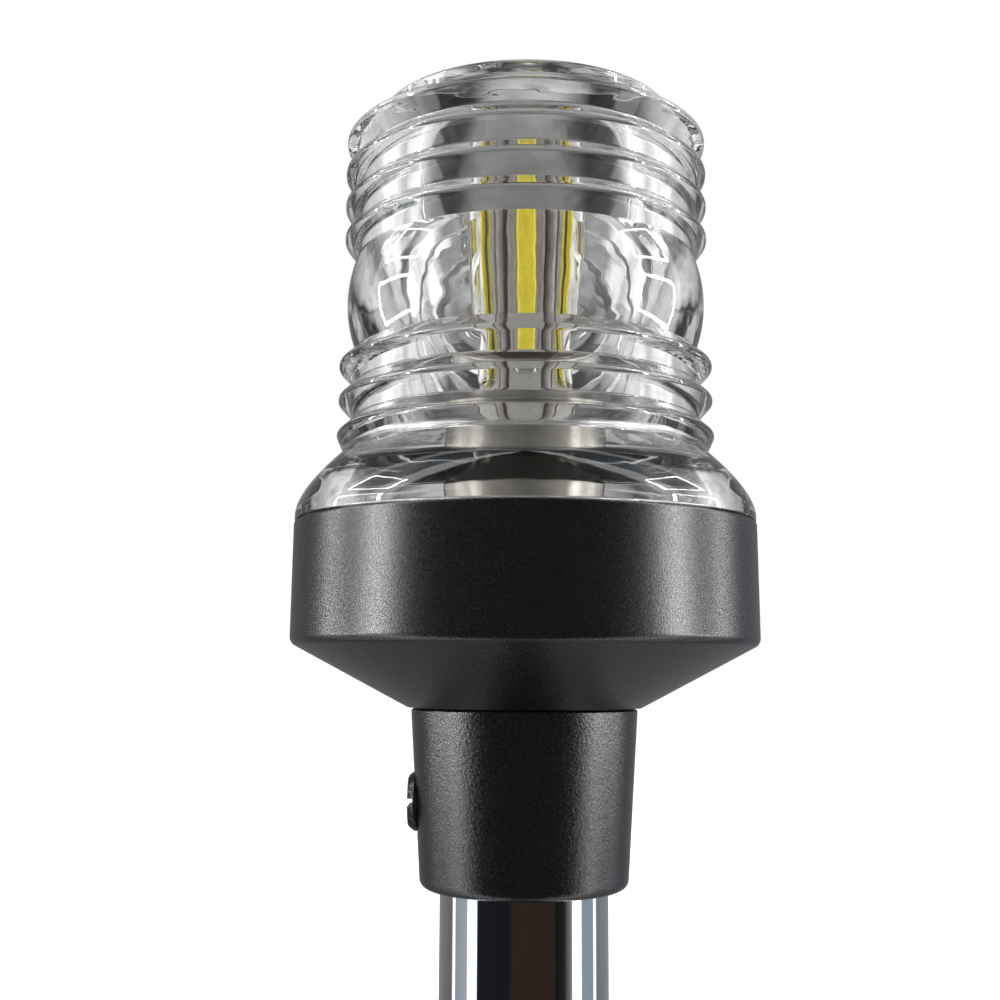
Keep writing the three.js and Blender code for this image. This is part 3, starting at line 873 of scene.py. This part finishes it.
def seal():
    section = (SEAL.top - SEAL.bottom) / 2
    middle = Vector((SEAL.radius - section, SEAL.centre.z))
    circle = arc_points(middle, section, 0, 2 * math.pi, step=math.radians(12))[:-1]
    placed(turned("seal_ring", circle), "seal", RUBBER, "lens_seal")


# ---------- lamp holder ----------
PIN_HEIGHT = 67.2
PIN_RADIUS = 0.9
PIN_ROOM = 0.35  # between a pin and the edge of its slot
LAMP_PUSH = 2.5  # how far the lamp goes down
LAMP_TWIST = math.radians(22)  # and how far it turns
STUD_OFFSET = 3.6


def holder():
    flange = HOLDER.bottom + 1.1
    floor = HOLDER.bottom + 1.4
    bore = 8.0
    outer = bore + 0.9
    hole = 2.9
    outline = rounded(
        [
            (hole, HOLDER.bottom, 0.2),
            (HOLDER.radius, HOLDER.bottom, 0.3),
            (HOLDER.radius, flange, 0.3),
            (outer, flange, 0.6),
            (outer, HOLDER.top, 0.35),
            (bore, HOLDER.top, 0.35),
            (bore, floor, 0.4),
            (hole, floor, 0.2),
        ]
    )
    cup = turned("holder", outline, 128)
    slot_half = PIN_RADIUS + PIN_ROOM
    low = PIN_HEIGHT - slot_half - LAMP_PUSH
    height = PIN_HEIGHT + PIN_RADIUS + PIN_ROOM * 0.4 - low
    span = LAMP_TWIST + 2 * slot_half / bore
    for side in (0, math.pi):
        lock = helical_bar("tool", bore - 1, outer + 1, low, height, side + LAMP_TWIST / 2, span, 0)
        carve(cup, lock)
        entry = block("tool", (bore - 2, -slot_half, low), (bore + 3, slot_half, HOLDER.top + 1))
        carve(cup, turned_by(entry, math.degrees(side + LAMP_TWIST)))
    for side in (-1, 1):
        y = side * HOLDER_SCREW_OFFSET
        carve(cup, rod("tool", SCREW_HOLE, (0, y, HOLDER.bottom - 1), (0, y, HOLDER.bottom + 3)))
    placed(cup, "housing", NICKEL, "lamp_holder")


def contact_disc():
    hole = 1.2
    stud_hole = 1.4
    outline = rounded(
        [
            (hole, DISC.bottom, 0.1),
            (DISC.radius, DISC.bottom, 0.2),
            (DISC.radius, DISC.top, 0.2),
            (hole, DISC.top, 0.1),
        ]
    )
    disc = turned("disc", outline, 96)
    for side in (-1, 1):
        x = side * STUD_OFFSET
        carve(disc, rod("tool", stud_hole, (x, 0, DISC.bottom - 1), (x, 0, DISC.top + 1), 48))
    placed(disc, "contacts", PHENOLIC, "contact_disc")


def contact(node, side, foot, tip, body, material):
    """A round contact that stands where its node does: foot and tip are its ends, (radius, fillet)."""
    place = Extent(node)
    corners = [
        (0, place.bottom),
        (foot[0], place.bottom, foot[1]),
        (tip[0], place.top, tip[1]),
        (0, place.top),
    ]
    piece = turned(f"{node}_fine", rounded(corners), 48)
    moved(piece, Matrix.Translation((side * STUD_OFFSET * MM, 0, 0)))
    placed(piece, body, material, node)


def spring():
    wire = 0.35
    turns = 2.4
    steps = 160
    radius = SPRING.radius - wire
    low, high = SPRING.bottom + wire, SPRING.top - wire
    path = []
    for k in range(steps + 1):
        t = k / steps
        angle = 2 * math.pi * turns * t
        path.append(Vector((radius * math.cos(angle), radius * math.sin(angle), low + (high - low) * t)))
    coil = tube("spring_coil", path, wire, 16)
    placed(coil, "housing", SPRING_STEEL, "contact_spring")
    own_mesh(coil)


# ---------- lamp ----------
def lamp_base():
    bore = INSULATOR.radius + CLEARANCE
    corners = [
        (bore, BASE.bottom, 0.3),
        (BASE.radius, BASE.bottom, 0.35),
        (BASE.radius, BASE.top, 0.2),
        (bore, BASE.top, 0.1),
    ]
    shell = turned("base", rounded(corners), 128)
    root, reach = bore + 0.3, BASE.high.x
    pin_outline = rounded([(0, root), (PIN_RADIUS, root), (PIN_RADIUS, reach, 0.35), (0, reach)])
    for side in (-1, 1):
        aim = Matrix.Rotation(side * math.pi / 2, 4, "Y")
        place = Matrix.Translation((0, 0, PIN_HEIGHT * MM))
        carve(shell, moved(turned("tool", pin_outline, 48), place @ aim), "UNION")
    placed(shell, "lamp", NICKEL, "lamp_base")


def insulator():
    low, high, radius = INSULATOR.bottom, INSULATOR.top, INSULATOR.radius
    plug = turned("insulator", rounded([(0, low), (radius, low, 0.7), (radius, high, 0.2), (0, high)]), 96)
    placed(plug, "lamp", PHENOLIC, "lamp_base_insulator")


def lamp_body():
    low, top, radius = DRUM.bottom, DRUM.top, DRUM.radius
    rim = radius - 1.5
    recess = 0.8
    corners = [
        (0, low),
        (radius - 2.4, low, 0.3),
        (radius - 0.6, low + 0.9, 0.6),
        (radius, low + 2.2, 0.6),
        (radius, top, 0.5),
        (rim, top, 0.3),
        (rim - 0.3, top - recess, 0.2),
        (0, top - recess),
    ]
    placed(turned("drum", rounded(corners)), "lamp", NICKEL, "lamp_body")


def tower():
    """A six-sided column with a thin fin at each corner."""
    flat = 6.2  # from the axis to each side
    corner = flat / math.cos(math.pi / FACES)
    half = 0.55
    tip = CORE.high.x
    root = corner - half * math.tan(math.pi / FACES)
    fin = ((root, -1), (tip - 0.2, -1), (tip, -0.5), (tip, 0.5), (tip - 0.2, 1), (root, 1))
    outline = []
    for k in range(FACES):
        angle = 2 * math.pi * k / FACES
        along = Vector((math.cos(angle), math.sin(angle)))
        across = Vector((-math.sin(angle), math.cos(angle)))
        outline += [tuple(along * out + across * (side * half)) for out, side in fin]
    core = extruded("tower_core", outline, CORE.bottom, CORE.top)
    placed(core, "lamp", ALUMINIUM, "led_core")


def led_board(number, angle):
    node = f"led_board_{number}"
    board = block(f"{node}_fine", BOARD.low, BOARD.high, 0.1)
    placed(turned_by(board, angle), "lamp", BOARD_WHITE, node)


def led_strip(number, angle):
    node = f"led_strip_{number}"
    strip = block(f"{node}_fine", STRIP.low, STRIP.high, 0.22)
    placed(turned_by(strip, angle), "lamp", PHOSPHOR, node)


def led_cover(number, angle):
    """A clear half capsule with a round lower end, hollow where the strip lies."""
    node = f"led_cover_{number}"
    half, back = COVER.high.x, COVER.high.y
    depth = back - COVER.low.y
    corners = [(0, COVER.bottom), (half, COVER.bottom, half * 0.99), (half, COVER.top, 0.4), (0, COVER.top)]
    cover = turned(f"{node}_fine", rounded(corners), 64)
    moved(cover, Matrix.Translation((0, back * MM, 0)) @ Matrix.Diagonal((1, depth / half, 1, 1)))
    behind = block("tool", (-half - 1, back, COVER.bottom - 1), (half + 1, back + depth + 1, COVER.top + 1))
    carve(cover, behind)
    hollow = block(
        "tool",
        (STRIP.low.x - CLEARANCE, STRIP.low.y - CLEARANCE, STRIP.bottom - 0.5),
        (STRIP.high.x + CLEARANCE, back + 1, STRIP.top + 0.5),
        0.15,
    )
    carve(cover, hollow)
    placed(turned_by(cover, angle), "lamp", COVER_CLEAR, node)


def cap():
    edge = 0.6
    corners = [(0, CAP.bottom), (CAP.radius, CAP.bottom, edge), (CAP.radius, CAP.top, edge), (0, CAP.top)]
    placed(turned("cap_disc", rounded(corners), 128), "lamp", ALUMINIUM, "lamp_cap")


# ---------- studio ----------
CAMERA_PLACE = Vector((-0.00388, -0.2124, 0.052))
CAMERA_PITCH = math.radians(7.28)
CAMERA_ROLL = math.radians(0.27)
CAMERA_LENS = 49.32  # millimetres
LIT_FRAMES = ((0.015, 0.22), (0.33, 0.55))  # the heights between which the lit frames stand, in metres
FRAME_NEAR, FRAME_FAR = 72, 102  # degrees from the camera's side to a lit frame's two uprights


def camera():
    data = bpy.data.cameras.new("camera")
    data.lens = CAMERA_LENS
    data.sensor_width = 36
    data.clip_start = 0.005
    eye = bpy.data.objects.new("camera", data)
    look = Matrix.Rotation(math.pi / 2 + CAMERA_PITCH, 4, "X") @ Matrix.Rotation(CAMERA_ROLL, 4, "Z")
    eye.matrix_world = Matrix.Translation(CAMERA_PLACE) @ look
    bpy.context.scene.collection.objects.link(eye)
    bpy.context.scene.camera = eye


def stage_floor():
    reach = 3.0
    shape = bmesh.new()
    corners = [(-reach, -reach, 0), (reach, -reach, 0), (reach, reach, 0), (-reach, reach, 0)]
    shape.faces.new([shape.verts.new(c) for c in corners])
    floor = made("floor", shape)
    pale = ((0.94, 0.94, 0.94), (0.93, 0.93, 0.94))
    floor.data.materials.append(finish("pale_floor", pale, (0.8, 0.9), patch=300, specular=0.1))
    floor.visible_glossy = False
    floor.visible_transmission = False
    floor.visible_diffuse = False


def softbox(name, bearing, distance, width, height, centre, radiance):
    """A flat lamp at a bearing from the camera's side, its middle at the height centre, that faces the
    light's axis. Only surfaces see it: the camera and rays through the lens don't."""
    data = bpy.data.lights.new(name, "AREA")
    data.shape = "RECTANGLE"
    data.size, data.size_y = width, height
    data.energy = radiance * math.pi * width * height
    lamp = bpy.data.objects.new(name, data)
    turn = math.radians(bearing)
    place = Vector((distance * math.sin(turn), -distance * math.cos(turn), centre))
    aim = (Vector((0, 0, centre)) - place).to_track_quat("-Z", "Y")
    lamp.matrix_world = Matrix.Translation(place) @ aim.to_matrix().to_4x4()
    lamp.visible_camera = False
    lamp.visible_transmission = False
    bpy.context.scene.collection.objects.link(lamp)
    return lamp


def lit_frame(side, low, high):
    """Four thin lamps that outline a panel beside the light, between two heights."""
    distance = 0.5
    thin = 0.02
    rail_radiance = 14.0
    middle = (low + high) / 2
    for edge, radiance in ((FRAME_NEAR, 40.0), (FRAME_FAR, 18.0)):
        name = f"upright_{side}_{edge}_{middle:.2f}"
        softbox(name, side * edge, distance, thin, high - low, middle, radiance)
    half_turn = math.radians((FRAME_FAR - FRAME_NEAR) / 2)
    width, reach = 2 * distance * math.sin(half_turn), distance * math.cos(half_turn)
    bearing = side * (FRAME_NEAR + FRAME_FAR) / 2
    for height in (low, high):
        softbox(f"rail_{side}_{height:.2f}", bearing, reach, width, thin, height, rail_radiance)


def fill_lamp():
    """Lights the LED tower from near the camera, without a reflection of its own."""
    fill = softbox("fill", bearing=-20, distance=0.6, width=0.3, height=0.3, centre=0.16, radiance=25.0)
    fill.visible_glossy = False


def by_angle(tree, angle, reach, stops):
    """A colour that depends on an angle from -reach to reach degrees: stops are (degrees, colour)."""
    limit = math.radians(reach)
    share = add(tree, "MapRange", {"From Min": -limit, "From Max": limit})
    tree.links.new(angle, share.inputs["Value"])
    ramp = add(tree, "ValToRGB")
    elements = ramp.color_ramp.elements
    while len(elements) < len(stops):
        elements.new(0.5)
    for element, (degrees, colour) in zip(elements, stops):
        element.position = (degrees + reach) / (2 * reach)
        element.color = (*colour, 1)
    tree.links.new(share.outputs["Result"], ramp.inputs["Fac"])
    return ramp.outputs["Color"]


def azimuth(tree):
    """A ray's azimuth from the camera's side, positive to the right."""
    place = add(tree, "TexCoord")
    parts = add(tree, "SeparateXYZ")
    tree.links.new(place.outputs["Generated"], parts.inputs["Vector"])
    back = add(tree, "Math", {1: -1.0}, operation="MULTIPLY")
    tree.links.new(parts.outputs["Y"], back.inputs[0])
    angle = add(tree, "Math", operation="ARCTAN2")
    tree.links.new(parts.outputs["X"], angle.inputs[0])
    tree.links.new(back.outputs["Value"], angle.inputs[1])
    return angle.outputs["Value"]


def elevation(tree):
    """A ray's angle over the horizon."""
    place = add(tree, "TexCoord")
    parts = add(tree, "SeparateXYZ")
    tree.links.new(place.outputs["Generated"], parts.inputs["Vector"])
    angle = add(tree, "Math", operation="ARCSINE")
    tree.links.new(parts.outputs["Z"], angle.inputs[0])
    return angle.outputs["Value"]


def seen_through(tree):
    """What rays through the clear pieces meet: bright bands at the sides, and behind the light a
    backdrop that is pale near eye height and dark over it."""
    around = azimuth(tree)
    sides = by_angle(tree, around, 180, SIDES)
    behind = by_angle(tree, around, 180, BEHIND)
    backdrop = by_angle(tree, elevation(tree), 90, BACKDROP)
    blend = add(tree, "MixRGB")
    tree.links.new(behind, blend.inputs["Fac"])
    tree.links.new(sides, blend.inputs["Color1"])
    tree.links.new(backdrop, blend.inputs["Color2"])
    place = add(tree, "TexCoord")
    clouds = add(tree, "TexNoise", {"Scale": 5.0, "Detail": 4.0, "Roughness": 0.6})
    tree.links.new(place.outputs["Generated"], clouds.inputs["Vector"])
    mottled = add(tree, "VectorMath", operation="SCALE")
    tree.links.new(blend.outputs["Color"], mottled.inputs[0])
    tree.links.new(spread(tree, clouds.outputs["Fac"], *MOTTLE), mottled.inputs["Scale"])
    return mottled.outputs["Vector"]


def grey(value):
    """A neutral colour."""
    return (value, value, value)


AMBIENT = 1.15  # what matt surfaces are lit by
BLUE_GREY = (0.30, 0.36, 0.42)
BROWN = (0.035, 0.022, 0.016)
WINDOW = grey(2.8)  # the bright bands whose sheen runs down the black pieces
PANEL = grey(1.6)
NEAR_BLACK = (0.010, 0.010, 0.010)
# What reflections meet, by azimuth.
REFLECTED = [
    (-180, grey(0.30)),
    (-118, grey(0.16)),
    (-113, grey(0.16)),
    (-112, PANEL),
    (-107, PANEL),
    (-106, BLUE_GREY),
    (-83, (0.42, 0.48, 0.53)),
    (-81, WINDOW),
    (-68, WINDOW),
    (-66, (0.012, 0.014, 0.018)),
    (-22, (0.010, 0.011, 0.014)),
    (-15, BROWN),
    (40, BROWN),
    (44, NEAR_BLACK),
    (55, (0.02, 0.022, 0.018)),
    (66, (0.25, 0.27, 0.24)),
    (69, WINDOW),
    (81, WINDOW),
    (83, BLUE_GREY),
    (106, BLUE_GREY),
    (107, PANEL),
    (112, PANEL),
    (113, (0.20, 0.21, 0.25)),
    (180, grey(0.34)),
]
# What rays through the clear pieces meet, by azimuth.
SIDES = [
    (-180, grey(0.03)),
    (-156, grey(0.03)),
    (-150, grey(0.35)),
    (-140, grey(0.55)),
    (-118, grey(0.75)),
    (-112, grey(1.2)),
    (-106, grey(1.2)),
    (-90, grey(0.66)),
    (-82, grey(1.1)),
    (-72, grey(1.1)),
    (-64, grey(0.32)),
    (0, grey(0.14)),
    (64, grey(0.32)),
    (72, grey(1.3)),
    (82, grey(1.3)),
    (90, grey(0.66)),
    (106, grey(1.4)),
    (112, grey(1.4)),
    (118, grey(0.75)),
    (140, grey(0.55)),
    (150, grey(0.35)),
    (156, grey(0.03)),
    (180, grey(0.03)),
]
# How much of the backdrop shows instead, by azimuth.
BEHIND = [(-180, grey(1)), (-174, grey(1)), (-168, grey(0)), (168, grey(0)), (174, grey(1)), (180, grey(1))]
# The backdrop's brightness, by elevation.
BACKDROP = [
    (-90, grey(0.15)),
    (-30, grey(0.42)),
    (-8, grey(0.60)),
    (9, grey(0.60)),
    (15, grey(0.20)),
    (36, grey(0.14)),
    (46, grey(0.30)),
    (64, grey(0.31)),
    (90, grey(0.36)),
]
MOTTLE = (0.72, 1.35)  # how far the brightness of what is seen through the lens wanders


def world():
    """White to the camera, and evenly bright to matt surfaces. To reflections and to rays through the
    clear pieces it is a studio that is dark behind the camera."""
    sky = bpy.data.worlds.new("studio")
    bpy.context.scene.world = sky
    sky.use_nodes = True
    sky.cycles.sampling_method = "NONE"
    tree = sky.node_tree
    tree.nodes.clear()
    path = add(tree, "LightPath")
    glow = {
        "Is Glossy Ray": by_angle(tree, azimuth(tree), 180, REFLECTED),
        "Is Transmission Ray": seen_through(tree),
        "Is Camera Ray": None,
    }
    shader = add(tree, "Background", {"Color": (*grey(AMBIENT), 1)}).outputs["Background"]
    for ray, colour in glow.items():
        background = add(tree, "Background", {"Color": (*grey(1), 1)})
        if colour:
            tree.links.new(colour, background.inputs["Color"])
        mix = add(tree, "MixShader")
        tree.links.new(path.outputs[ray], mix.inputs["Fac"])
        tree.links.new(shader, mix.inputs[1])
        tree.links.new(background.outputs["Background"], mix.inputs[2])
        shader = mix.outputs["Shader"]
    output = add(tree, "OutputWorld")
    tree.links.new(shader, output.inputs["Surface"])


def studio():
    scene = bpy.context.scene
    scene.view_settings.view_transform = "Standard"
    scene.cycles.use_denoising = True
    scene.cycles.max_bounces = 24
    scene.cycles.transmission_bounces = 20
    scene.cycles.glossy_bounces = 10
    scene.cycles.transparent_max_bounces = 24
    scene.cycles.caustics_reflective = True
    scene.cycles.caustics_refractive = True
    scene.cycles.sample_clamp_indirect = 8.0
    world()
    for side in (-1, 1):
        for low, high in LIT_FRAMES:
            lit_frame(side, low, high)
    fill_lamp()


# ---------- the light ----------
camera()
pole()
neck()
clamp_screw()
clamp_washer()
clamp_insert()
bowl()
for number in (1, 2, 3):
    pan_screw(f"neck_screw_{number}", shank=1.4, head=2.5, thickness=1.7)
for number in (1, 2):
    pan_screw(f"holder_screw_{number}", shank=1.05, head=2.1, thickness=1.5)
grommet()
lead(1, "lead_red", LEAD_RED)
lead(-1, "lead_black", LEAD_BLACK)
lens()
seal()
holder()
contact_disc()
for number, side in ((1, -1), (2, 1)):
    contact(f"contact_stud_{number}", side, (1.1, 0.2), (1.1, 0.6), "contacts", BRASS)
spring()
lamp_base()
insulator()
for number, side in ((1, -1), (2, 1)):
    contact(f"lamp_contact_{number}", side, (1.3, 0.7), (1.5, 0.05), "lamp", ZINC)
lamp_body()
tower()
for number in range(1, FACES + 1):
    face_angle = (number - 1) * 360 / FACES
    led_board(number, face_angle)
    led_strip(number, face_angle)
    led_cover(number, face_angle)
cap()
stage_floor()
studio()
